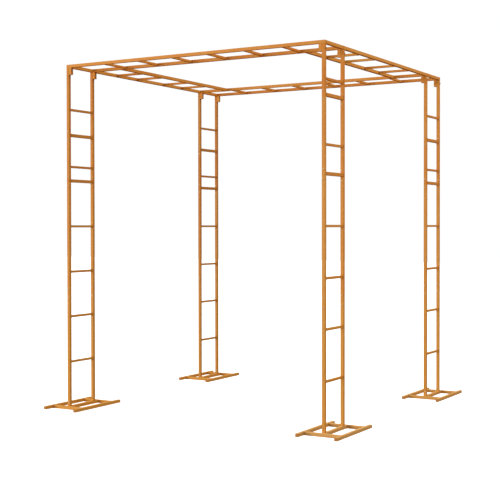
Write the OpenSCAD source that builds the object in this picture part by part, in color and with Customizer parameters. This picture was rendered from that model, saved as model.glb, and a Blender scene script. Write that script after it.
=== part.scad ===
// Overhead climbing ladder frame of square steel tube.
// Four ladder legs stand on flat feet and carry a square ring of four
// flat-lying ladder beams. Each leg stacks four bolted ladder sections.
// Millimetres, +Z up, origin on the floor at the middle of the footprint.

/* [Plan] */
// Left leg to right leg, tube centre to tube centre
span_x = 2034; // [1900:2:2200]
// Front outer rail to back outer rail, tube centre to tube centre
span_y = 1976; // [1900:2:2200]
// Width of every ladder, tube centre to tube centre
ladder_w = 266; // [240:2:300]

/* [Tube] */
// Outer size of the square frame tube
tube = 22; // [20:0.5:24]
// Wall of the frame tube
wall = 1.5; // [1.2:0.1:2]
// Outer size of the square rung tube
rung = 16; // [14:0.5:18]
// Wall of the rung tube
rung_wall = 1.2; // [1:0.1:1.5]

/* [Leg sections] */
// Length of the two main ladder sections
main_len = 800; // [760:10:900]
// First and second rung of a main section, from its top when it is lowest
main_first = 160; // [140:5:180]
// Distance between the two rungs of a main section
main_pitch = 325; // [300:5:350]
// Length of the short extension
short_len = 325; // [300:5:400]
// Thin rung of the short extension, above its lower end
short_rung = 111; // [100:1:150]
// Length of the long extension
long_len = 490; // [450:5:600]
// Thin rung of the long extension, above its lower end
long_rung = 193; // [150:1:250]

/* [Top ring] */
// Spacing of the rungs in the front and back beams
beam_pitch = 284; // [260:1:300]
// Gap between the two middle rungs of the side beams
side_middle = 354; // [300:2:380]
// Gap between a middle rung and an outer rung of the side beams
side_pitch = 254; // [220:2:270]
// Depth of the corner stubs below the top of the ring
stub_drop = 72; // [60:1:90]

/* [Feet] */
// Length of the two skids of a foot
skid_len = 520; // [480:10:600]
// Skid to skid, tube centre to tube centre
foot_w = 268; // [240:2:300]
// Cross bar to cross bar, tube centre to tube centre
foot_bars = 344; // [336:2:380]
// How far the legs stand in front of the middle of their feet
leg_forward = 14; // [0:1:16]

/* [Fasteners] */
// Radius of a self-cutting screw
screw_r = 2.4; // [2:0.1:2.5]
// Radius of a screw's pan head
screw_head_r = 4.75; // [4:0.25:5]
// Screw above a splice
screw_above = 38; // [34:1:45]
// Screw below a splice
screw_below = 25; // [20:1:35]
// Radius of a corner bolt
bolt_r = 3; // [2.5:0.5:4]

/* [Hidden] */
frame_paint = [0.80, 0.50, 0.16];
plug_orange = [0.66, 0.37, 0.11];
zinc = [0.72, 0.66, 0.52];
fit = 0.05;

foot_top = tube;
leg_top = foot_top + 2 * main_len + short_len + long_len;
ring_top = leg_top + tube;
ring_mid = leg_top + tube / 2;
outer_x = span_x / 2;
inner_x = outer_x - ladder_w;
rail_end = outer_x + tube / 2;
leg_mid_y = (span_y - ladder_w) / 2;
end_plate = 2;

spigot_gap = 0.25;
spigot_w = tube - 2 * wall - 2 * spigot_gap;
spigot_half = 60;
side_spigot = 50;
side_screw = 28;
foot_screw = 30;
screw_len = 8;
screw_head_h = 2.2;
hole_depth = 5;

bolt_z = leg_top - 26;
bolt_head_h = 4;
nut_h = 5;
bolt_tail = 3;
hex_r = 10 / sqrt(3);

plug_cap = 2;
plug_cap_w = tube - 1;
plug_body_w = tube - 2 * wall - 0.2;
plug_body = 12;

LEGS = ["front_left", "back_left", "front_right", "back_right"];
SECTIONS = ["lower", "middle", "short", "long"];
BEAMS = ["front", "back"];
SIDES = ["left", "right"];
LEG_PARTS = ["foot_skids", "foot_cross_bars", "foot_middle_bar"];

// +1 on the right and at the back, -1 on the left and at the front
function side_of(leg) = leg == "front_right" || leg == "back_right" ? 1 : -1;
function end_of(leg) = leg == "back_left" || leg == "back_right" ? 1 : -1;

function leg_x(leg) = side_of(leg) * outer_x;
function foot_y(leg) = end_of(leg) * leg_mid_y;
function upright_ys(leg) = [for (s = [-1, 1]) foot_y(leg) - leg_forward + s * ladder_w / 2];

// The front right leg carries its long extension below the short one
function long_first(leg) = leg == "front_right";
function splice_z(leg) = foot_top + 2 * main_len + (long_first(leg) ? long_len : short_len);
function splices(leg) = [foot_top + main_len, foot_top + 2 * main_len, splice_z(leg)];

function section_z(leg, section) =
    section == "lower" ? foot_top :
    section == "middle" ? foot_top + main_len :
    (section == "long") == long_first(leg) ? foot_top + 2 * main_len : splice_z(leg);
function section_len(section) =
    section == "short" ? short_len : section == "long" ? long_len : main_len;

// Rungs of a section as [height above its lower end, tube size, tube wall]
function main_rungs() = [main_first, main_first + main_pitch];
function thin_rungs(section) =
    section == "lower" ? [for (z = main_rungs()) main_len - z] :
    section == "middle" ? main_rungs() :
    section == "short" ? [short_rung] : [long_rung];
function end_rungs(section) = section == "short" || section == "long" ? [tube / 2] : [];

function screw_levels(leg) = concat(
    [foot_top + foot_screw],
    [for (z = splices(leg)) z + screw_above],
    [for (z = splices(leg)) z - screw_below]
);
function levels_within(levels, low, high) = [for (z = levels) if (z > low && z < high) z];

// Rails of the front and back beams, which also hold the legs
function beam_ys(beam) = upright_ys(str(beam, "_left"));
// Inner faces of the front and back beams, between which the side beams fit
side_low = beam_ys("front")[1] + tube / 2;
side_high = beam_ys("back")[0] - tube / 2;
side_mid = (side_low + side_high) / 2;
function side_xs(side) = [for (x = [outer_x, inner_x]) (side == "left" ? -1 : 1) * x];
side_rung_ys = [for (s = [-1, 1]) for (k = [0, 1]) side_mid + s * (side_middle / 2 + k * side_pitch)];
beam_rung_xs = [for (i = [-2.5 : 2.5]) i * beam_pitch];

module profile(size, thick) {
    difference() {
        square(size, center = true);
        square(size - 2 * thick, center = true);
    }
}

module tube_x(x0, x1, y, z, size = tube, thick = wall) {
    translate([x0, y, z]) rotate([90, 0, 90]) linear_extrude(x1 - x0) profile(size, thick);
}

module tube_y(x, y0, y1, z, size = tube, thick = wall) {
    translate([x, y0, z]) rotate([-90, 0, 0]) linear_extrude(y1 - y0) profile(size, thick);
}

module tube_z(x, y, z0, z1, size = tube, thick = wall) {
    translate([x, y, z0]) linear_extrude(z1 - z0) profile(size, thick);
}

// Cutter for a screw hole that starts in the face at the origin and goes in along +Z
module screw_hole() {
    translate([0, 0, -1]) cylinder(h = hole_depth + 1, r = screw_r + fit, $fn = 32);
}

// Pan-head screw seated on the face at the origin, pointing along +Z
module screw() {
    cylinder(h = screw_len, r = screw_r, $fn = 32);
    translate([0, 0, -screw_head_h]) cylinder(h = screw_head_h, r = screw_head_r, $fn = 32);
}

// Every leg screw enters the front face of an upright
module at_leg_screws(leg, y, levels) {
    for (z = levels) translate([leg_x(leg), y - tube / 2, z]) rotate([-90, 0, 0]) children();
}

module at_side_screws(side) {
    for (x = side_xs(side)) for (y = [side_low + side_screw, side_high - side_screw])
        translate([x, y, leg_top]) children();
}

module foot_skids(leg) {
    color(frame_paint)
    for (s = [-1, 1])
        tube_y(leg_x(leg) + s * foot_w / 2, foot_y(leg) - skid_len / 2 + plug_cap,
            foot_y(leg) + skid_len / 2 - plug_cap, tube / 2);
}

module foot_cross_bars(leg) {
    reach = foot_w / 2 - tube / 2;
    color(frame_paint)
    for (s = [-1, 1])
        tube_x(leg_x(leg) - reach, leg_x(leg) + reach, foot_y(leg) + s * foot_bars / 2, tube / 2);
}

module foot_middle_bar(leg) {
    reach = foot_bars / 2 - tube / 2;
    color(frame_paint) tube_y(leg_x(leg), foot_y(leg) - reach, foot_y(leg) + reach, tube / 2);
}

module section_uprights(leg, section) {
    low = section_z(leg, section);
    high = low + section_len(section);
    color(frame_paint)
    for (y = upright_ys(leg))
        difference() {
            tube_z(leg_x(leg), y, low, high);
            at_leg_screws(leg, y, levels_within(screw_levels(leg), low, high)) screw_hole();
            if (high == leg_top) corner_bolt_hole(leg, y);
        }
}

module section_rungs(leg, section) {
    low = section_z(leg, section);
    y0 = upright_ys(leg)[0] + tube / 2;
    y1 = upright_ys(leg)[1] - tube / 2;
    color(frame_paint) {
        for (z = thin_rungs(section)) tube_y(leg_x(leg), y0, y1, low + z, rung, rung_wall);
        for (z = end_rungs(section)) tube_y(leg_x(leg), y0, y1, low + z);
    }
}

module leg_spigots() {
    color(frame_paint)
    for (leg = LEGS) for (y = upright_ys(leg)) difference() {
        union() {
            tube_z(leg_x(leg), y, foot_top, foot_top + spigot_half, spigot_w, wall);
            for (z = splices(leg))
                tube_z(leg_x(leg), y, z - spigot_half, z + spigot_half, spigot_w, wall);
        }
        at_leg_screws(leg, y, screw_levels(leg)) screw_hole();
    }
}

module leg_screws() {
    color(zinc)
    for (leg = LEGS) for (y = upright_ys(leg)) at_leg_screws(leg, y, screw_levels(leg)) screw();
}

module corner_bolt_hole(leg, y) {
    translate([leg_x(leg) - 2 * tube, y, bolt_z])
        rotate([0, 90, 0]) cylinder(h = 4 * tube, r = bolt_r + fit, $fn = 32);
}

module corner_stubs() {
    color(frame_paint)
    for (leg = LEGS) for (y = upright_ys(leg)) difference() {
        tube_z(leg_x(leg) - side_of(leg) * tube, y, ring_top - stub_drop, leg_top);
        corner_bolt_hole(leg, y);
    }
}

// Hexagon bolt along +Z with its nut, clamping two tubes
module corner_bolt() {
    translate([0, 0, -bolt_head_h]) cylinder(h = bolt_head_h, r = hex_r, $fn = 6);
    cylinder(h = 2 * tube + nut_h + bolt_tail, r = bolt_r, $fn = 32);
    translate([0, 0, 2 * tube]) difference() {
        cylinder(h = nut_h, r = hex_r, $fn = 6);
        translate([0, 0, -1]) cylinder(h = nut_h + 2, r = bolt_r + fit, $fn = 32);
    }
}

module corner_bolts() {
    color(zinc)
    for (leg = LEGS) for (y = upright_ys(leg))
        translate([leg_x(leg) - side_of(leg) * 1.5 * tube, y, bolt_z])
            rotate([0, side_of(leg) * 90, 0]) corner_bolt();
}

module beam_rails(beam) {
    reach = rail_end - end_plate;
    color(frame_paint) for (y = beam_ys(beam)) tube_x(-reach, reach, y, ring_mid);
}

module beam_rungs(beam) {
    y0 = beam_ys(beam)[0] + tube / 2;
    y1 = beam_ys(beam)[1] - tube / 2;
    color(frame_paint) {
        for (x = beam_rung_xs) tube_y(x, y0, y1, ring_mid, rung, rung_wall);
        for (x = [-outer_x, outer_x]) tube_y(x, y0, y1, ring_mid);
    }
}

module rail_end_plates() {
    color(frame_paint)
    for (beam = BEAMS) for (y = beam_ys(beam)) for (s = [-1, 1])
        translate([s * (rail_end - end_plate / 2), y, ring_mid]) cube([end_plate, tube, tube], center = true);
}

module side_rails(side) {
    color(frame_paint)
    for (x = side_xs(side)) difference() {
        tube_y(x, side_low, side_high, ring_mid);
        at_side_screws(side) screw_hole();
    }
}

module side_rungs(side) {
    x0 = min(side_xs(side)) + tube / 2;
    x1 = max(side_xs(side)) - tube / 2;
    color(frame_paint) for (y = side_rung_ys) tube_x(x0, x1, y, ring_mid, rung, rung_wall);
}

module side_beam_spigots() {
    color(frame_paint)
    for (side = SIDES) difference() {
        for (x = side_xs(side)) {
            tube_y(x, side_low, side_low + side_spigot, ring_mid, spigot_w, wall);
            tube_y(x, side_high - side_spigot, side_high, ring_mid, spigot_w, wall);
        }
        at_side_screws(side) screw_hole();
    }
}

module side_beam_screws() {
    color(zinc) for (side = SIDES) at_side_screws(side) screw();
}

// Push-in plug for a tube end, its cap outside and its body along +Z
module skid_plug() {
    translate([0, 0, -plug_cap / 2]) cube([plug_cap_w, plug_cap_w, plug_cap], center = true);
    translate([0, 0, plug_body / 2]) cube([plug_body_w, plug_body_w, plug_body], center = true);
}

module skid_plugs() {
    color(plug_orange)
    for (leg = LEGS) for (s = [-1, 1]) for (e = [-1, 1])
        translate([leg_x(leg) + s * foot_w / 2, foot_y(leg) + e * (skid_len / 2 - plug_cap), tube / 2])
            rotate([e * 90, 0, 0]) skid_plug();
}

for (leg = LEGS) {
    foot_skids(leg);
    foot_cross_bars(leg);
    foot_middle_bar(leg);
}
for (leg = LEGS) for (section = SECTIONS) {
    section_uprights(leg, section);
    section_rungs(leg, section);
}
for (beam = BEAMS) {
    beam_rails(beam);
    beam_rungs(beam);
}
for (side = SIDES) {
    side_rails(side);
    side_rungs(side);
}
leg_spigots();
leg_screws();
corner_stubs();
corner_bolts();
side_beam_spigots();
side_beam_screws();
rail_end_plates();
skid_plugs();
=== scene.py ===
import math
import bpy
import bmesh
from mathutils import Matrix, Vector


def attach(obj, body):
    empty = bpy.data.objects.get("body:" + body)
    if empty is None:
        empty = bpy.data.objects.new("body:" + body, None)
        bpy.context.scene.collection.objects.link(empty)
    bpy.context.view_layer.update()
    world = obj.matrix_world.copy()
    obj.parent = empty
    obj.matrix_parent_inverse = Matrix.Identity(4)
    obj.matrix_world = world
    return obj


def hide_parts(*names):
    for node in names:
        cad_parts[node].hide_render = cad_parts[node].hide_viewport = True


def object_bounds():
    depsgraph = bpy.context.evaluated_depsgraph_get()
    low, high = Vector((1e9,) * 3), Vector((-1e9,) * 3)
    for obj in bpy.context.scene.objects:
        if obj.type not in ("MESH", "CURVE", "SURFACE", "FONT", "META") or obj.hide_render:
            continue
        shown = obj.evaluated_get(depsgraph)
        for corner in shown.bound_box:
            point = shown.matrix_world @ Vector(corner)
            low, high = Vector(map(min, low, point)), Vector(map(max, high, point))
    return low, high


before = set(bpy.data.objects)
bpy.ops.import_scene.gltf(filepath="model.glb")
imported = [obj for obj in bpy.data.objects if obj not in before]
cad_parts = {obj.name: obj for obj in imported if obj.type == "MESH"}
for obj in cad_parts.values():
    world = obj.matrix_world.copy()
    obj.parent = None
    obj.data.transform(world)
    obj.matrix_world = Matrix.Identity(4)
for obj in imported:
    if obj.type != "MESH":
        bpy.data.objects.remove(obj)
cadLow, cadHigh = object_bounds()
scene = bpy.context.scene
mm = 0.001
print("frame loaded:", len(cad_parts), "nodes")


# node trees are written as plain sums: a Wire is one output socket with arithmetic on it
class Wire:
    def __init__(self, graph, socket):
        self.graph = graph
        self.socket = socket

    def __getitem__(self, name):
        outputs = self.socket.node.outputs
        return Wire(self.graph, next(s for s in outputs if s.name == name and s.enabled))

    def maths(self, operation, *terms):
        return self.graph.node("ShaderNodeMath", {"operation": operation}, dict(enumerate(terms)))

    def __add__(self, other):
        return self.maths("ADD", self, other)

    def __sub__(self, other):
        return self.maths("SUBTRACT", self, other)

    def __mul__(self, other):
        return self.maths("MULTIPLY", self, other)

    def __truediv__(self, other):
        return self.maths("DIVIDE", self, other)

    def __radd__(self, other):
        return self.maths("ADD", other, self)

    def __rsub__(self, other):
        return self.maths("SUBTRACT", other, self)

    def __rmul__(self, other):
        return self.maths("MULTIPLY", other, self)

    def sine(self):
        return self.maths("SINE", self)

    def size(self):
        return self.maths("ABSOLUTE", self)

    def most(self, other):
        return self.maths("MAXIMUM", self, other)

    def least(self, other):
        return self.maths("MINIMUM", self, other)


class Graph:
    def __init__(self, tree):
        self.tree = tree

    # settings first, then socket values or links, by name or by number
    def node(self, kind, settings=None, values=None):
        made = self.tree.nodes.new(kind)
        for name, value in (settings or {}).items():
            setattr(made, name, value)
        for name, value in (values or {}).items():
            self.feed(made, name, value)
        return Wire(self, next(s for s in made.outputs if s.enabled)) if made.outputs else made

    def feed(self, made, name, value):
        if isinstance(name, int):
            socket = made.inputs[name]
        else:
            socket = next(s for s in made.inputs if s.name == name and s.enabled)
        if isinstance(value, Wire):
            self.tree.links.new(value.socket, socket)
        elif isinstance(value, list):  # several wires into one join
            for wire in value:
                self.tree.links.new(wire.socket, socket)
        else:
            socket.default_value = value

    # from low to high becomes 0 to 1, eased
    def step(self, value, low, high):
        spread = {"Value": value, "From Min": low, "From Max": high}
        return self.node("ShaderNodeMapRange", {"interpolation_type": "SMOOTHSTEP"}, spread)


class Finish(Graph):
    def __init__(self, name):
        self.material = bpy.data.materials.new(name)
        self.material.use_nodes = True
        super().__init__(self.material.node_tree)
        self.shader = self.tree.nodes["Principled BSDF"]
        self.place = self.node("ShaderNodeTexCoord")["Object"]

    def noise(self, scale, detail, roughness):
        values = {"Vector": self.place, "Scale": scale, "Detail": detail, "Roughness": roughness}
        return self.node("ShaderNodeTexNoise", None, values)

    def mix(self, amount, first, second):
        values = {"Factor": amount, "A": first, "B": second}
        return self.node("ShaderNodeMix", {"data_type": "RGBA", "clamp_factor": True}, values)

    def attribute(self, name):
        return self.node("ShaderNodeAttribute", {"attribute_name": name})["Fac"]

    def bump(self, height, distance, strength, below=None):
        values = {"Height": height, "Distance": distance, "Strength": strength}
        if below is not None:
            values["Normal"] = below
        return self.node("ShaderNodeBump", None, values)

    # 1 on the rolled corners of a tube, 0 on its flat sides
    def corners(self):
        normal = self.node("ShaderNodeNewGeometry")["Normal"]
        parts = self.node("ShaderNodeSeparateXYZ", None, {"Vector": normal})
        x, y, z = parts["X"].size(), parts["Y"].size(), parts["Z"].size()
        return self.step((x * y).most(y * z).most(z * x), 0.12, 0.42)

    def finish(self, **sockets):
        for name, value in sockets.items():
            self.feed(self.shader, name, value)
        return self.material


# a scale is how many times a pattern repeats in a metre, and a depth is in metres
paint = {
    "gold": (0.70, 0.312, 0.050, 1),    # thin coat
    "orange": (0.65, 0.212, 0.017, 1),  # thick coat
    "cloudScale": 2.3,                  # slow changes from gold to orange
    "cloudShare": 0.6,
    "mottleScale": 9.0,                 # quicker ones
    "mottleShare": 0.25,
    "speckScale": 420.0,
    "speckle": 0.08,
    "wornColour": (0.78, 0.42, 0.12, 1),
    "edgeWear": 0.12,
    "wearScale": 38.0,
    # dark brown for soot and dirt, also used as painted shade over the legs, in patches of the next scale
    "dirt": (0.17, 0.050, 0.008, 1),
    "grimeScale": 85.0,
    "weldDirt": 0.32,
    "pitScale": 210.0,
    "pitDirt": 0.2,
    # a paler colour that some feet are mixed towards, in patches
    "dust": (0.66, 0.55, 0.31, 1),
    "roughness": 0.46,
    "shine": 0.15,
    "peelScale": 520.0,                 # orange peel of the sprayed coat
    "peelDepth": 0.00003,
    "waveScale": 60.0,                  # uneven steel under it
    "waveDepth": 0.00015,
}


# depth moves the coat towards orange, gloss makes it smoother
def paintFinish(name, depth=0.0, gloss=0.0):
    f = Finish(name)
    cloud = f.noise(paint["cloudScale"], 2, 0.5)
    mottle = f.noise(paint["mottleScale"], 4, 0.6)
    speck = f.noise(paint["speckScale"], 3, 0.65)
    coat = f.attribute("tone") - 0.5 + f.step(mottle, 0.3, 0.7) * paint["mottleShare"]
    coat = coat + cloud * paint["cloudShare"] + depth
    colour = f.mix(f.step(coat, 0, 1), paint["gold"], paint["orange"])
    colour = f.mix(f.step(speck, 0.56, 0.74) * paint["speckle"], colour, paint["wornColour"])

    # thin paint on the corners, rubbed through in patches
    rub = f.noise(paint["wearScale"], 5, 0.62)
    worn = f.corners() * f.step(rub, 0.46, 0.7) * paint["edgeWear"]
    colour = f.mix(worn, colour, paint["wornColour"])

    # soot and dirt gather round the welds and in the paint's pits
    grime = f.noise(paint["grimeScale"], 4, 0.6)
    soiled = (f.attribute("seam") * (0.2 + grime) * paint["weldDirt"]).least(0.8)
    pits = f.step(f.noise(paint["pitScale"], 3, 0.7), 0.68, 0.8) * paint["pitDirt"]
    colour = f.mix(soiled.most(pits), colour, paint["dirt"])

    # painted shade over a whole leg, darker on some legs than others, and paler patches on some feet
    colour = f.mix(f.attribute("grime") * (0.6 + grime * 0.8), colour, paint["dirt"])
    colour = f.mix(f.attribute("dust") * (0.4 + mottle * 1.2), colour, paint["dust"])

    peel = f.noise(paint["peelScale"], 2, 0.55)
    coarse = f.bump(f.noise(paint["waveScale"], 2, 0.5), paint["waveDepth"], 0.4)
    normal = f.bump(peel + pits * -2.0, paint["peelDepth"], 0.8, coarse)
    rough = paint["roughness"] - gloss + mottle * 0.12 + soiled * 0.25 + worn * 0.1 - speck * 0.06
    return f.finish(**{"Base Color": colour, "Roughness": rough, "Normal": normal,
                       "Specular IOR Level": paint["shine"]})


framePaint = paintFinish("framePaint")
weldPaint = paintFinish("weldPaint", 0.35, 0.06)


steel = {
    "colour": (0.58, 0.47, 0.29, 1),
    "tarnish": (0.30, 0.20, 0.09, 1),
    "patchScale": 160.0,
    "spotScale": 420.0,
    "scratchScale": 900.0,
    "scratchDepth": 0.00003,
    "roughness": 0.38,
}


def steelFinish():
    f = Finish("zincSteel")
    patch = f.noise(steel["patchScale"], 4, 0.6)
    scratch = f.noise(steel["scratchScale"], 2, 0.5)
    spot = f.step(f.noise(steel["spotScale"], 3, 0.65), 0.6, 0.72)
    colour = f.mix(f.step(patch, 0.42, 0.72) * 0.7, steel["colour"], steel["tarnish"])
    colour = f.mix(spot * 0.5, colour, steel["tarnish"])
    rough = steel["roughness"] + patch * 0.2 + spot * 0.2
    normal = f.bump(scratch, steel["scratchDepth"], 0.6)
    return f.finish(**{"Base Color": colour, "Roughness": rough, "Metallic": 1.0 - spot * 0.3,
                       "Normal": normal})


plastic = {
    "colour": (0.52, 0.195, 0.026, 1),
    "scuffed": (0.20, 0.085, 0.022, 1),
    "scuffScale": 120.0,
    "grainScale": 1500.0,
    "grainDepth": 0.00005,
    "roughness": 0.48,
}


def plasticFinish():
    f = Finish("plugPlastic")
    patch = f.noise(plastic["scuffScale"], 4, 0.6)
    grain = f.noise(plastic["grainScale"], 2, 0.5)
    scuff = f.corners() * f.step(patch, 0.4, 0.65) * 0.6
    scuff = scuff.most(f.step(patch, 0.5, 0.8) * 0.4)
    colour = f.mix(scuff, plastic["colour"], plastic["scuffed"])
    rough = plastic["roughness"] + patch * 0.2
    normal = f.bump(grain, plastic["grainDepth"], 0.7)
    return f.finish(**{"Base Color": colour, "Roughness": rough, "Normal": normal})


insides = {
    "steel": (0.10, 0.075, 0.055, 1),
    "overspray": (0.42, 0.18, 0.04, 1),
    "patchScale": 70.0,
    "patchDepth": 0.0002,
    "roughness": 0.55,
}


def insideFinish():
    f = Finish("tubeInside")
    patch = f.noise(insides["patchScale"], 4, 0.6)
    colour = f.mix(f.step(patch, 0.4, 0.7), insides["steel"], insides["overspray"])
    rough = insides["roughness"] + patch * 0.3
    normal = f.bump(patch, insides["patchDepth"], 0.5)
    return f.finish(**{"Base Color": colour, "Roughness": rough, "Normal": normal})


zincSteel = steelFinish()
plugPlastic = plasticFinish()
tubeInside = insideFinish()
print("materials made:", len(bpy.data.materials))


mergeGap = 0.01 * mm  # vertices closer than this are one
boxSlack = 0.02 * mm  # how far a wall may stick out and still count as inside


def encloses(big, small):
    return all(big[0][k] <= small[0][k] + boxSlack and big[1][k] >= small[1][k] - boxSlack
               for k in range(3))


# low and high corner of every separate solid in a CAD node, in a fixed order
def solidsOf(node):
    shell = bmesh.new()
    shell.from_mesh(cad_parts[node].data)
    bmesh.ops.remove_doubles(shell, verts=shell.verts, dist=mergeGap)
    left = set(shell.verts)
    found = []
    while left:
        patch = [left.pop()]
        island = []
        while patch:
            vertex = patch.pop()
            island.append(vertex.co.copy())
            for edge in vertex.link_edges:
                other = edge.other_vert(vertex)
                if other in left:
                    left.remove(other)
                    patch.append(other)
        low = Vector([min(c[k] for c in island) for k in range(3)])
        high = Vector([max(c[k] for c in island) for k in range(3)])
        found.append((low, high))
    shell.free()
    # a hollow tube's inner wall lies inside its outer one, so it isn't a solid of its own
    outer = [a for a in found if not any(a is not b and encloses(b, a) for b in found)]
    return sorted(outer, key=lambda s: [round(v, 5) for v in (*s[0], *s[1])])


def middle(solid):
    return (solid[0] + solid[1]) / 2


def longSide(solid):
    spread = solid[1] - solid[0]
    return max(range(3), key=lambda k: spread[k])


def newObject(name, mesh):
    made = bpy.data.objects.new(name, mesh)
    scene.collection.objects.link(made)
    return made


cornerSteps = 5  # faces round each corner of a tube


# points round a square with rounded corners
def squareRing(half, radius):
    ring = []
    for quarter in range(4):
        turn = quarter * math.pi / 2
        for k in range(cornerSteps + 1):
            angle = k / cornerSteps * math.pi / 2
            x = half - radius + radius * math.cos(angle)
            y = half - radius + radius * math.sin(angle)
            ring.append((x * math.cos(turn) - y * math.sin(turn), x * math.sin(turn) + y * math.cos(turn)))
    return ring


# rings is a list of (half size, corner radius, height, material); closed joins the last to the first
def ringMesh(name, rings, materials, closed=False, capped=False):
    points, faces, paints = [], [], []
    for half, radius, height, _ in rings:
        points += [(x, y, height) for x, y in squareRing(half, radius)]
    around = 4 * (cornerSteps + 1)
    pairs = list(zip(range(len(rings)), range(1, len(rings))))
    if closed:
        pairs.append((len(rings) - 1, 0))
    for a, b in pairs:
        for k in range(around):
            j = (k + 1) % around
            faces.append((a * around + k, a * around + j, b * around + j, b * around + k))
            paints.append(rings[a][3])
    if capped:
        faces.append(tuple(reversed(range(around))))
        faces.append(tuple(range((len(rings) - 1) * around, len(rings) * around)))
        paints += [rings[0][3], rings[-1][3]]
    mesh = bpy.data.meshes.new(name)
    mesh.from_pydata(points, [], faces)
    for material in materials:
        mesh.materials.append(material)
    mesh.polygons.foreach_set("material_index", paints)
    square = [max(abs(c) for c in p.normal) > 0.9995 for p in mesh.polygons]  # flat sides and ends
    mesh.polygons.foreach_set("use_smooth", [not side for side in square])
    mesh.update()
    return mesh


tube = {
    "cornerShare": 0.065,  # rolled corner radius, as a share of the tube's size
    "leastRadius": 0.3 * mm,
    "wall": 1.5 * mm,
    "thinWall": 1.2 * mm,
    "thinUpTo": 17 * mm,   # tube of this size or less has the thin wall
    "spigotWall": 1.5 * mm,
    "lip": 0.45 * mm,      # rounding of a sawn end
    "step": 14 * mm,       # spacing of rings, so that dirt can follow the welds
    "toneSpread": 0.22,    # how far a tube's tone may be from its section's
}


def tubeMaster(name, size, length, thickness):
    half = size / 2
    radius = size * tube["cornerShare"]
    inner = half - thickness
    innerRadius = max(radius - thickness, tube["leastRadius"])
    lip = tube["lip"]
    end = length / 2
    count = max(2, round((length - 2 * lip) / tube["step"]) + 1)
    rings = [(half - lip, radius - lip * 0.5, -end, 0)]
    for k in range(count):
        rings.append((half, radius, -end + lip + k / (count - 1) * (length - 2 * lip), 0))
    rings.append((half - lip, radius - lip * 0.5, end, 0))
    rings.append((inner, innerRadius, end, 1))
    rings.append((inner, innerRadius, -end, 0))
    return newObject(name, ringMesh(name, rings, [framePaint, tubeInside], closed=True))


def geometryGraph(name, inputs):
    tree = bpy.data.node_groups.new(name, "GeometryNodeTree")
    tree.interface.new_socket("Geometry", in_out="OUTPUT", socket_type="NodeSocketGeometry")
    keys = {}
    for label, kind in inputs.items():
        socket = tree.interface.new_socket(label, in_out="INPUT", socket_type="NodeSocket" + kind)
        keys[label] = socket.identifier
    graph = Graph(tree)
    graph.start = graph.node("NodeGroupInput")
    graph.keys = keys
    return graph


def endWith(graph, geometry):
    graph.node("NodeGroupOutput", None, {"Geometry": geometry})


# runs a tree on a cloud of marks and gives the result as one plain mesh
def grow(name, graph, marks, attributes, settings):
    cloud = bpy.data.meshes.new(name + "Marks")
    cloud.from_pydata([tuple(m) for m in marks], [], [])
    for label, (kind, values) in attributes.items():
        layer = cloud.attributes.new(label, kind, "POINT")
        layer.data.foreach_set("vector" if kind == "FLOAT_VECTOR" else "value", values)
    holder = newObject(name + "Holder", cloud)
    modifier = holder.modifiers.new("grow", "NODES")
    modifier.node_group = graph.tree
    for label, value in settings.items():
        modifier[graph.keys[label]] = value
    graphNow = bpy.context.evaluated_depsgraph_get()
    mesh = bpy.data.meshes.new_from_object(holder.evaluated_get(graphNow))
    bpy.data.objects.remove(holder)
    for slot in reversed(range(len(mesh.materials))):
        if mesh.materials[slot] is None:
            mesh.materials.pop(index=slot)
    mesh.name = name
    return newObject(name, mesh)


weld = {
    "bead": 1.6 * mm,       # radius of the bead
    "segments": 120,        # round a tube's end
    "sides": 8,             # round the bead itself
    "ripples": 30.0,        # ripples round a tube's end
    "rippleDepth": 0.16,
    "lumps": 0.55 * mm,
    "lumpScale": 190.0,
    "soot": 26 * mm,        # how far the soot reaches along a tube
    "sootCore": 0.25,       # share of that reach where it is darkest
    "beadSoot": 0.55,
    "toneSpread": 0.1,
    "proud": 0.35 * mm,     # how much of a ground bead stands above the frame
    "clear": 0.3 * mm,      # gap between the lowest bead and the floor
}


# what a mark stands for
thickMark, thinMark, seamMark = 0.0, 1.0, 2.0


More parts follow.
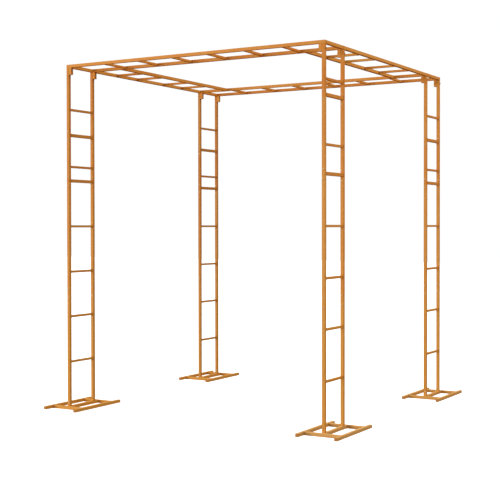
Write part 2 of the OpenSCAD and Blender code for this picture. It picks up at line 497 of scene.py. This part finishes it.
# tubes at marks, each with a weld bead round both ends
def tubeGraph():
    g = geometryGraph("tubesWithWelds", {
        "Geometry": "Geometry", "Thick Tube": "Object", "Thin Tube": "Object",
        "Thick Size": "Float", "Thin Size": "Float", "Length": "Float", "Turn": "Rotation",
        "Corner Share": "Float", "Bead Radius": "Float", "Ripples": "Float", "Ripple Depth": "Float",
        "Lumps": "Float", "Soot Reach": "Float", "Lowest": "Float", "Highest": "Float",
        "Seed": "Int", "Tone": "Float", "Grime": "Float", "Dust": "Float",
        "Welded": "Bool", "Bead Paint": "Material"})
    start = g.start
    kind = g.node("GeometryNodeInputNamedAttribute", {"data_type": "FLOAT"}, {"Name": "kind"})

    def marked(number):
        return g.node("FunctionNodeCompare", {"data_type": "FLOAT", "operation": "EQUAL"},
                      {"A": kind, "B": number, "Epsilon": 0.1})

    tubes = []
    beads = []
    for label, number in (("Thick", thickMark), ("Thin", thinMark)):
        master = g.node("GeometryNodeObjectInfo", None, {"Object": start[label + " Tube"]})["Geometry"]
        size = start[label + " Size"]
        square = g.node("GeometryNodeCurvePrimitiveQuadrilateral", None, {"Width": size, "Height": size})
        rounded = g.node("GeometryNodeFilletCurve", {"mode": "POLY"},
                         {"Curve": square, "Count": 4, "Radius": size * start["Corner Share"]})
        path = g.node("GeometryNodeResampleCurve", None, {"Curve": rounded, "Count": weld["segments"]})
        along = g.node("GeometryNodeSplineParameter")["Factor"]
        ripple = (along * start["Ripples"] * 2 * math.pi).sine()
        profile = g.node("GeometryNodeCurvePrimitiveCircle", None,
                         {"Resolution": weld["sides"], "Radius": start["Bead Radius"]})
        ring = g.node("GeometryNodeCurveToMesh", None, {
            "Curve": path, "Profile Curve": profile, "Scale": 1 + ripple * start["Ripple Depth"]})
        ends = []
        for side in (-0.5, 0.5):
            shift = g.node("ShaderNodeCombineXYZ", None, {"Z": start["Length"] * side})
            ends.append(g.node("GeometryNodeTransform", None, {"Geometry": ring, "Translation": shift}))
        pair = g.node("GeometryNodeJoinGeometry", None, {"Geometry": ends})
        here = {"Points": start["Geometry"], "Selection": marked(number), "Rotation": start["Turn"]}
        tubes.append(g.node("GeometryNodeInstanceOnPoints", None, {**here, "Instance": master}))
        beads.append(g.node("GeometryNodeInstanceOnPoints", None, {**here, "Instance": pair}))

    # each tube gets a tone of its own, close to that of its section
    def toned(parts, spread):
        joined = g.node("GeometryNodeJoinGeometry", None, {"Geometry": parts})
        chance = g.node("FunctionNodeRandomValue", {"data_type": "FLOAT"},
                        {"Min": -spread, "Max": spread, "Seed": start["Seed"]})
        held = g.node("GeometryNodeStoreNamedAttribute", {"data_type": "FLOAT", "domain": "INSTANCE"},
                      {"Geometry": joined, "Name": "tone", "Value": start["Tone"] + chance})
        return g.node("GeometryNodeRealizeInstances", None, {"Geometry": held})

    bare = toned(tubes, tube["toneSpread"])
    seams = g.node("GeometryNodeSeparateGeometry", None,
                   {"Geometry": start["Geometry"], "Selection": marked(seamMark)})
    near = g.node("GeometryNodeProximity", {"target_element": "POINTS"}, {"Geometry": seams})
    reach = near["Distance"] / start["Soot Reach"]
    soot = g.step(reach, 1.0, weld["sootCore"]) * near["Is Valid"]
    tubesDone = g.node("GeometryNodeStoreNamedAttribute", {"data_type": "FLOAT", "domain": "POINT"},
                       {"Geometry": bare, "Name": "seam", "Value": soot})

    rippled = toned(beads, weld["toneSpread"])
    where = g.node("GeometryNodeInputPosition")
    noise = g.node("ShaderNodeTexNoise", None, {"Vector": where, "Scale": weld["lumpScale"], "Detail": 2.0})
    push = g.node("ShaderNodeVectorMath", {"operation": "SUBTRACT"},
                  {0: noise["Color"], 1: (0.5, 0.5, 0.5)})
    offset = g.node("ShaderNodeVectorMath", {"operation": "SCALE"}, {0: push, "Scale": start["Lumps"]})
    lumpy = g.node("GeometryNodeSetPosition", None, {"Geometry": rippled, "Offset": offset})
    parts = g.node("ShaderNodeSeparateXYZ", None, {"Vector": where})
    kept = parts["Z"].most(start["Lowest"]).least(start["Highest"])
    ground = g.node("ShaderNodeCombineXYZ", None, {"X": parts["X"], "Y": parts["Y"], "Z": kept})
    trimmed = g.node("GeometryNodeSetPosition", None, {"Geometry": lumpy, "Position": ground})
    sooty = g.node("GeometryNodeStoreNamedAttribute", {"data_type": "FLOAT", "domain": "POINT"},
                   {"Geometry": trimmed, "Name": "seam", "Value": weld["beadSoot"]})
    smooth = g.node("GeometryNodeSetShadeSmooth", None, {"Geometry": sooty})
    beadsDone = g.node("GeometryNodeSetMaterial", None,
                       {"Geometry": smooth, "Material": start["Bead Paint"]})
    wanted = g.node("GeometryNodeSwitch", {"input_type": "GEOMETRY"},
                    {"Switch": start["Welded"], "True": beadsDone})
    whole = g.node("GeometryNodeJoinGeometry", None, {"Geometry": [tubesDone, wanted]})
    # each leg's painted shade and its foot's paleness, kept for the paint to read
    for label in ("Grime", "Dust"):
        whole = g.node("GeometryNodeStoreNamedAttribute", {"data_type": "FLOAT", "domain": "POINT"},
                       {"Geometry": whole, "Name": label.lower(), "Value": start[label]})
    endWith(g, whole)
    return g


tubesWithWelds = tubeGraph()
turns = [(0, math.pi / 2, 0), (math.pi / 2, 0, 0), (0, 0, 0)]  # from Z to X, to Y and to Z


# a node's solids, gathered by their length
def byLength(node):
    groups = {}
    for low, high in solidsOf(node):
        axis = longSide((low, high))
        groups.setdefault(round(high[axis] - low[axis], 4), []).append((low, high))
    return [groups[length] for length in sorted(groups)]


# finished pieces for a CAD node of straight tubes, one for each length
def tubePieces(node, seed, **options):
    for number, solids in enumerate(byLength(node)):
        suffix = "_tubes" if number == 0 else f"_tubes_{number + 1}"
        tubePiece(node, node + suffix, solids, seed + 1000 * number, **options)


def tubePiece(node, name, solids, seed, tone=0.5, grime=0.0, dust=0.0, welded=False, seams=(),
              thickness=None):
    axis = longSide(solids[0])
    across = (axis + 1) % 3
    length = max(high[axis] - low[axis] for low, high in solids)
    sizes = [round(high[across] - low[across], 4) for low, high in solids]
    thick, thin = max(sizes), min(sizes)
    masters = {
        "Thick Tube": tubeMaster("thickTube", thick, length, thickness or tube["wall"]),
        "Thin Tube": tubeMaster("thinTube", thin, length, thickness or tube["thinWall"]),
    }
    if thick < tube["thinUpTo"] and not thickness:
        masters["Thick Tube"].data = masters["Thin Tube"].data
    marks = [middle(s) for s in solids]
    kinds = [thickMark if size == thick else thinMark for size in sizes]
    if welded:
        half = Vector([length / 2 if k == axis else 0 for k in range(3)])
        seams = [m + side * half for m in marks for side in (-1, 1)]
    kinds += [seamMark] * len(seams)
    piece = grow(name, tubesWithWelds, marks + list(seams), {"kind": ("FLOAT", kinds)}, {
        **masters, "Thick Size": thick, "Thin Size": thin, "Length": length, "Turn": turns[axis],
        "Corner Share": tube["cornerShare"], "Bead Radius": weld["bead"], "Welded": welded,
        "Ripples": weld["ripples"], "Ripple Depth": weld["rippleDepth"], "Lumps": weld["lumps"],
        "Soot Reach": weld["soot"], "Lowest": cadLow[2] + weld["clear"],
        "Highest": cadHigh[2] + weld["proud"], "Seed": seed, "Tone": tone,
        "Grime": grime, "Dust": dust, "Bead Paint": weldPaint})
    for master in masters.values():
        bpy.data.objects.remove(master)
    return settle(piece, "frame_paint", node)


def settle(piece, slot, *nodes):
    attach(piece, "root")
    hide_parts(*nodes)
    return piece


# how much painted shade darkens each leg, and how much paler its foot is made
legs = {
    "front_left": {"grime": 0.13, "dust": 0.0},
    "back_left": {"grime": 0.24, "dust": 0.0},
    "front_right": {"grime": 0.02, "dust": 0.22},
    "back_right": {"grime": 0.05, "dust": 0.14},
}
# how much of the orange coat each section has: the lower ones are more golden
sections = {"lower": 0.16, "middle": 0.38, "short": 0.74, "long": 0.58}
footTone = 0.1
beams = {"front": 0.74, "back": 0.62, "left": 0.66, "right": 0.34}
stubTone = 0.62


# where the rungs of a node meet what they are welded to
def endsOf(node):
    found = []
    for solid in solidsOf(node):
        axis = longSide(solid)
        for corner in solid:
            spot = middle(solid)
            spot[axis] = corner[axis]
            found.append(spot)
    return found


# seeds are spaced out, so that no two pieces share one
seed = 0
for leg, legTint in legs.items():
    crossEnds = endsOf(leg + "_foot_cross_bars")
    foot = {"tone": footTone, "dust": legTint["dust"]}
    tubePieces(leg + "_foot_skids", seed + 1, seams=crossEnds, **foot)
    tubePieces(leg + "_foot_cross_bars", seed + 2, welded=True, **foot)
    tubePieces(leg + "_foot_middle_bar", seed + 3, welded=True, **foot)
    for number, (section, tone) in enumerate(sections.items()):
        rungs = f"{leg}_{section}_rungs"
        first = seed + 4 + 2 * number
        tubePieces(f"{leg}_{section}_uprights", first, tone=tone, grime=legTint["grime"], seams=endsOf(rungs))
        tubePieces(rungs, first + 1, tone=tone, grime=legTint["grime"], welded=True)
    seed += 20
print("legs and feet made")

for beam, tone in beams.items():
    rungs = beam + "_beam_rungs"
    tubePieces(beam + "_beam_rails", seed + 1, tone=tone, seams=endsOf(rungs))
    tubePieces(rungs, seed + 2, tone=tone, welded=True)
    seed += 10
tubePieces("corner_stubs", seed + 1, tone=stubTone)
tubePieces("leg_spigots", seed + 2, thickness=tube["spigotWall"])
tubePieces("side_beam_spigots", seed + 3, thickness=tube["spigotWall"])
print("ring made")


# a body turned about +Z: profile is a list of (radius, height, whether flats cut it to a hexagon)
def turnedMesh(name, profile, material, around=24, flats=0.0):
    points, faces = [], []
    for radius, height, hexed in profile:
        for k in range(around):
            angle = k / around * 2 * math.pi
            reach = radius
            if hexed:
                off = (angle + math.pi / 6) % (math.pi / 3) - math.pi / 6  # from the nearest flat's middle
                reach = min(radius, flats / 2 / math.cos(off))
            points.append((reach * math.cos(angle), reach * math.sin(angle), height))
    for a in range(len(profile) - 1):
        for k in range(around):
            j = (k + 1) % around
            faces.append((a * around + k, a * around + j, (a + 1) * around + j, (a + 1) * around + k))
    faces.append(tuple(reversed(range(around))))
    faces.append(tuple(range((len(profile) - 1) * around, len(profile) * around)))
    mesh = bpy.data.meshes.new(name)
    mesh.from_pydata([tuple(v * mm for v in p) for p in points], [], faces)
    mesh.materials.append(material)
    mesh.update()
    return mesh


def cut(target, cutter):
    modifier = target.modifiers.new("cut", "BOOLEAN")
    modifier.operation = "DIFFERENCE"
    modifier.solver = "EXACT"
    modifier.object = cutter
    now = bpy.context.evaluated_depsgraph_get()
    mesh = bpy.data.meshes.new_from_object(target.evaluated_get(now))
    target.modifiers.clear()
    target.data = mesh
    bpy.data.objects.remove(cutter)


# shades smooth across the edges that bend by less than so many degrees
def smoothBelow(mesh, degrees):
    mesh.polygons.foreach_set("use_smooth", [True] * len(mesh.polygons))
    shell = bmesh.new()
    shell.from_mesh(mesh)
    for edge in shell.edges:
        edge.smooth = edge.is_manifold and edge.calc_face_angle() < math.radians(degrees)
    shell.to_mesh(mesh)
    shell.free()


# the profiles below are in millimetres, from the plane under the head
screw = {
    "head": [(1.2, -2.2, 0), (2.6, -2.1, 0), (3.6, -1.8, 0), (4.3, -1.25, 0), (4.65, -0.6, 0),
             (4.75, -0.1, 0), (4.6, 0, 0), (2.4, 0, 0)],
    "shank": [(2.35, 1.2, 0), (2.4, 1.5, 0), (2.0, 1.9, 0), (2.4, 2.6, 0), (2.0, 3.1, 0), (2.4, 3.8, 0),
              (2.0, 4.3, 0), (2.4, 5.0, 0), (1.9, 5.5, 0), (2.1, 6.2, 0), (1.4, 7.1, 0), (0.3, 8, 0)],
    "headHeight": 2.2,
    "slot": (1.15, 4.6, 1.5),  # width, length and depth of each arm of the recess
    "slotStart": -3.0,         # the recess is cut from here, above the head
    "taper": 0.62,             # how much narrower its cutter is at the bottom
    "smooth": 35,
}


def screwMaster():
    body = newObject("screwMaster", turnedMesh("screwMaster", screw["head"] + screw["shank"], zincSteel))
    width, length, depth = screw["slot"]
    for across, along in ((width, length), (length, width)):
        shell = bmesh.new()
        bmesh.ops.create_cube(shell, size=mm)
        for vertex in shell.verts:
            deep = vertex.co.z > 0
            taper = screw["taper"] if deep else 1.0
            vertex.co.x *= across * (taper if across > along else 1)
            vertex.co.y *= along * (taper if along > across else 1)
            vertex.co.z = (depth - screw["headHeight"] if deep else screw["slotStart"]) * mm
        mesh = bpy.data.meshes.new("recess")
        shell.to_mesh(mesh)
        shell.free()
        cut(body, newObject("recess", mesh))
    smoothBelow(body.data, screw["smooth"])
    return body


bolt = {
    "flats": 10.0,
    "head": [(4.6, -4, 0), (4.9, -3.95, 1), (5.77, -3.5, 1), (5.77, -0.9, 1), (6.3, -0.8, 0),
             (6.4, -0.6, 0), (6.4, -0.15, 0), (6.2, 0, 0), (3, 0, 0)],
    "tail": [(3, 49, 0), (2.6, 49.3, 0), (3, 49.8, 0), (2.6, 50.3, 0), (3, 50.8, 0), (2.6, 51.3, 0),
             (2.2, 52, 0)],
    "nut": [(3, 44, 0), (4.9, 44, 0), (5.77, 44.5, 1), (5.77, 48.5, 1), (4.9, 49, 0), (3.4, 49, 0),
            (3.05, 48.6, 0), (3.05, 44.3, 0)],
    "headHeight": 4.0,
    "shortest": 20.0,  # a shorter solid is a nut
    "around": 36,
    "smooth": 28,
}


def boltMaster():
    shape = bolt["head"] + bolt["tail"]
    mesh = turnedMesh("boltMaster", shape, zincSteel, bolt["around"], bolt["flats"])
    smoothBelow(mesh, bolt["smooth"])
    return newObject("boltMaster", mesh)


def nutMaster():
    mesh = turnedMesh("nutMaster", bolt["nut"], zincSteel, bolt["around"], bolt["flats"])
    shell = bmesh.new()
    shell.from_mesh(mesh)
    caps = [f for f in shell.faces if len(f.verts) > 4]  # the nut is open, with a wall for its thread
    bmesh.ops.delete(shell, geom=caps, context="FACES_ONLY")
    openEdges = [e for e in shell.edges if e.is_boundary]
    bmesh.ops.bridge_loops(shell, edges=openEdges)
    bmesh.ops.recalc_face_normals(shell, faces=shell.faces)
    shell.to_mesh(mesh)
    shell.free()
    smoothBelow(mesh, bolt["smooth"])
    return newObject("nutMaster", mesh)


# rings of (half size, corner radius, height), in millimetres from the tube's end
plug = {
    "cap": [(7.6, 1.4, -1.55), (8.0, 1.5, -1.62), (8.6, 1.7, -1.95), (9.6, 2.0, -2.0), (10.2, 2.0, -1.75),
            (10.5, 1.9, -1.3), (10.5, 1.9, -0.2), (10.35, 1.8, 0)],
    "sleeve": (9.0, 1.0),
    "rib": 9.4,
    "ribPlaces": (1.6, 4.6, 7.6),
    "ribRise": 0.4,            # length of a rib's steep side, and of its slope
    "ribFall": 1.0,
    "tip": (8.6, 1.0, 12),
}
plate = [(10.75, 1.5, -1.0), (11.0, 1.6, -0.75), (11.0, 1.6, 0.45), (10.7, 1.5, 0.85), (10.2, 1.3, 1.0)]
cappedSmooth = 32


def plugRings():
    half, radius = plug["sleeve"]
    rings = plug["cap"] + [(half, radius, 0)]
    for place in plug["ribPlaces"]:
        rings.append((half, radius, place - plug["ribRise"]))
        rings.append((plug["rib"], radius, place))
        rings.append((half, radius, place + plug["ribFall"]))
    return rings + [plug["tip"]]


def cappedMaster(name, rings, material):
    scaled = [(half * mm, radius * mm, height * mm, 0) for half, radius, height in rings]
    mesh = ringMesh(name, scaled, [material], capped=True)
    smoothBelow(mesh, cappedSmooth)
    return newObject(name, mesh)


# copies of one master at marks, each turned by its own angles and spun by chance
def copyGraph():
    g = geometryGraph("turnedCopies", {
        "Geometry": "Geometry", "Master": "Object", "Spin": "Float", "Seed": "Int", "Finish": "Material"})
    start = g.start
    turn = g.node("GeometryNodeInputNamedAttribute", {"data_type": "FLOAT_VECTOR"}, {"Name": "turn"})
    facing = g.node("FunctionNodeEulerToRotation", None, {"Euler": turn})
    chance = g.node("FunctionNodeRandomValue", {"data_type": "FLOAT"},
                    {"Min": 0.0, "Max": 1.0, "Seed": start["Seed"]})
    spin = g.node("ShaderNodeCombineXYZ", None, {"Z": chance * start["Spin"]})
    own = g.node("FunctionNodeEulerToRotation", None, {"Euler": spin})
    both = g.node("FunctionNodeRotateRotation", {"rotation_space": "LOCAL"},
                  {"Rotation": facing, "Rotate By": own})
    master = g.node("GeometryNodeObjectInfo", None, {"Object": start["Master"]})["Geometry"]
    placed = g.node("GeometryNodeInstanceOnPoints", None,
                    {"Points": start["Geometry"], "Instance": master, "Rotation": both})
    held = g.node("GeometryNodeStoreNamedAttribute", {"data_type": "FLOAT", "domain": "INSTANCE"},
                  {"Geometry": placed, "Name": "tone", "Value": 0.3 + chance * 0.4})
    real = g.node("GeometryNodeRealizeInstances", None, {"Geometry": held})
    endWith(g, g.node("GeometryNodeSetMaterial", None, {"Geometry": real, "Material": start["Finish"]}))
    return g


turnedCopies = copyGraph()
towards = {  # the turn that sends +Z along an axis
    (0, 1): (0, math.pi / 2, 0), (0, -1): (0, -math.pi / 2, 0), (1, 1): (-math.pi / 2, 0, 0),
    (1, -1): (math.pi / 2, 0, 0), (2, 1): (0, 0, 0), (2, -1): (math.pi, 0, 0)}
# the random draw of each set of copies
seeds = {
    "leg_screws_panhead": 401, "side_beam_screws_panhead": 402, "corner_hex_bolts": 403,
    "corner_hex_nuts": 404, "skid_end_plugs": 405, "rail_closing_plates": 406,
}


def copies(name, master, marks, facings, finish, spin=math.pi):
    flat = [v for facing in facings for v in towards[facing]]
    piece = grow(name, turnedCopies, marks, {"turn": ("FLOAT_VECTOR", flat)},
                 {"Master": master, "Spin": spin, "Seed": seeds[name], "Finish": finish})
    bpy.data.objects.remove(master)
    return piece


# screws that all point along one axis
def screwPiece(node, axis):
    marks = []
    for solid in solidsOf(node):
        spot = middle(solid)
        spot[axis] = solid[0][axis] + screw["headHeight"] * mm
        marks.append(spot)
    piece = copies(node + "_panhead", screwMaster(), marks, [(axis, 1)] * len(marks), zincSteel)
    settle(piece, "zinc", node)


# the bolts have their heads on the inner sides of the legs and their nuts on the outer sides
def boltPieces():
    seat = bolt["headHeight"] * mm
    marks, facings = [], []
    for low, high in solidsOf("corner_bolts"):
        if high[0] - low[0] < bolt["shortest"] * mm:
            continue
        side = 1 if low[0] > 0 else -1
        spot = middle((low, high))
        spot[0] = low[0] + seat if side > 0 else high[0] - seat
        marks.append(spot)
        facings.append((0, side))
    for name, master in (("corner_hex_bolts", boltMaster()), ("corner_hex_nuts", nutMaster())):
        settle(copies(name, master, marks, facings, zincSteel), "zinc", "corner_bolts")


def plugPiece():
    marks, facings = [], []
    for leg in legs:
        for solid in solidsOf(leg + "_foot_skids"):
            for end, facing in ((solid[0], 1), (solid[1], -1)):
                spot = middle(solid)
                spot[1] = end[1]
                marks.append(spot)
                facings.append((1, facing))
    master = cappedMaster("plugMaster", plugRings(), plugPlastic)
    settle(copies("skid_end_plugs", master, marks, facings, plugPlastic, 0.0), "plug_orange", "skid_plugs")


def platePiece():
    marks = [middle(solid) for solid in solidsOf("rail_end_plates")]
    facings = [(0, 1 if mark[0] > 0 else -1) for mark in marks]
    master = cappedMaster("plateMaster", plate, framePaint)
    piece = copies("rail_closing_plates", master, marks, facings, framePaint, 0.0)
    settle(piece, "frame_paint", "rail_end_plates")


screwPiece("leg_screws", 1)
screwPiece("side_beam_screws", 2)
boltPieces()
plugPiece()
platePiece()
print("fastenings made")


studio = {
    "floor": 30.0,
    "floorShade": (0.93, 0.93, 0.93, 1),
    "floorSmudge": (0.9, 0.9, 0.9, 1),
    "smudgeScale": 3.0,
    "smudges": 0.03,
    "floorGlow": 0.62,
    "backdrop": 1.02,                    # how white the wall looks
    "ambient": 0.10,
    "skyLight": 0.40,
    "skyBand": (-0.35, 0.25),            # heights of a direction, from -1 to 1
    "topLight": 0.9,
    "topBand": (0.55, 0.95),
    "bounce": 0.20,
    "bounceBand": (-0.25, -0.75),
    "bounceColour": (1, 0.52, 0.20, 1),  # light from below, coloured by the frame
    "warmBand": (0.05, -0.3),
    "aim": (0, 0, 1.2),
}
lamps = {
    "keyLamp": {"power": 1360.0, "place": (-7.5, -13.0, 2.2), "size": 5.0, "colour": (1, 0.985, 0.96)},
    "fillLamp": {"power": 215.0, "place": (5.5, 0.0, 6.5), "size": 3.0, "colour": (1, 1, 1)},
}


def makeFloor():
    half = studio["floor"]
    mesh = bpy.data.meshes.new("floor")
    corners = [(-half, -half, 0), (half, -half, 0), (half, half, 0), (-half, half, 0)]
    mesh.from_pydata(corners, [], [(0, 1, 2, 3)])
    f = Finish("floorPale")
    smudge = f.noise(studio["smudgeScale"], 3, 0.5) * studio["smudges"]
    shade = f.mix(smudge, studio["floorShade"], studio["floorSmudge"])
    mesh.materials.append(f.finish(**{"Base Color": shade, "Roughness": 0.9, "Emission Color": (1, 1, 1, 1),
                                      "Emission Strength": studio["floorGlow"]}))
    floor = newObject("floor", mesh)
    floor.visible_diffuse = False
    floor.visible_glossy = False


def makeSky():
    world = bpy.data.worlds.new("studio")
    world.use_nodes = True
    scene.world = world
    g = Graph(world.node_tree)
    seen = g.node("ShaderNodeLightPath")["Is Camera Ray"]
    direction = g.node("ShaderNodeTexCoord")["Generated"]
    height = g.node("ShaderNodeSeparateXYZ", None, {"Vector": direction})["Z"]
    lit = g.step(height, *studio["skyBand"]) * studio["skyLight"] + studio["ambient"]
    lit = lit + g.step(height, *studio["topBand"]) * studio["topLight"]
    lit = lit + g.step(height, *studio["bounceBand"]) * studio["bounce"]
    warm = g.step(height, *studio["warmBand"]) * (1 - seen)
    values = {"Factor": warm, "A": (1, 1, 1, 1), "B": studio["bounceColour"]}
    background = world.node_tree.nodes["Background"]
    g.feed(background, "Color", g.node("ShaderNodeMix", {"data_type": "RGBA"}, values))
    g.feed(background, "Strength", lit * (1 - seen) + seen * studio["backdrop"])


def makeLamp(name, power, place, size, colour):
    data = bpy.data.lights.new(name, "AREA")
    data.energy = power
    data.size = size
    data.color = colour
    lamp = newObject(name, data)
    lamp.location = place
    aim = Vector(studio["aim"]) - Vector(place)
    lamp.rotation_euler = aim.to_track_quat("-Z", "Y").to_euler()


makeFloor()
makeSky()
for name, values in lamps.items():
    makeLamp(name, **values)
scene.view_settings.view_transform = "Standard"
scene.view_settings.look = "None"
print("studio lit")


eye = {
    "place": (4.0377, -7.0374, 1.3052),
    "turn": 0.53216,   # to the left of +Y, in radians
    "dip": 0.01345,    # below the horizon
    "roll": -0.00115,
    "lens": 78.156,
    "sensor": 36.0,
    "reach": 200.0,
}


def makeCamera():
    data = bpy.data.cameras.new("camera")
    data.lens = eye["lens"]
    data.sensor_width = eye["sensor"]
    data.sensor_fit = "HORIZONTAL"
    data.clip_end = eye["reach"]
    camera = newObject("camera", data)
    turn, dip, roll = eye["turn"], eye["dip"], eye["roll"]
    ahead = Vector((-math.sin(turn), math.cos(turn), 0))
    right = Vector((math.cos(turn), math.sin(turn), 0))
    up = Vector((0, 0, 1))
    forward = ahead * math.cos(dip) - up * math.sin(dip)
    above = up * math.cos(dip) + ahead * math.sin(dip)
    side = right * math.cos(roll) + above * math.sin(roll)
    top = above * math.cos(roll) - right * math.sin(roll)
    matrix = Matrix((side, top, -forward)).transposed().to_4x4()
    matrix.translation = Vector(eye["place"])
    camera.matrix_world = matrix
    scene.camera = camera


makeCamera()
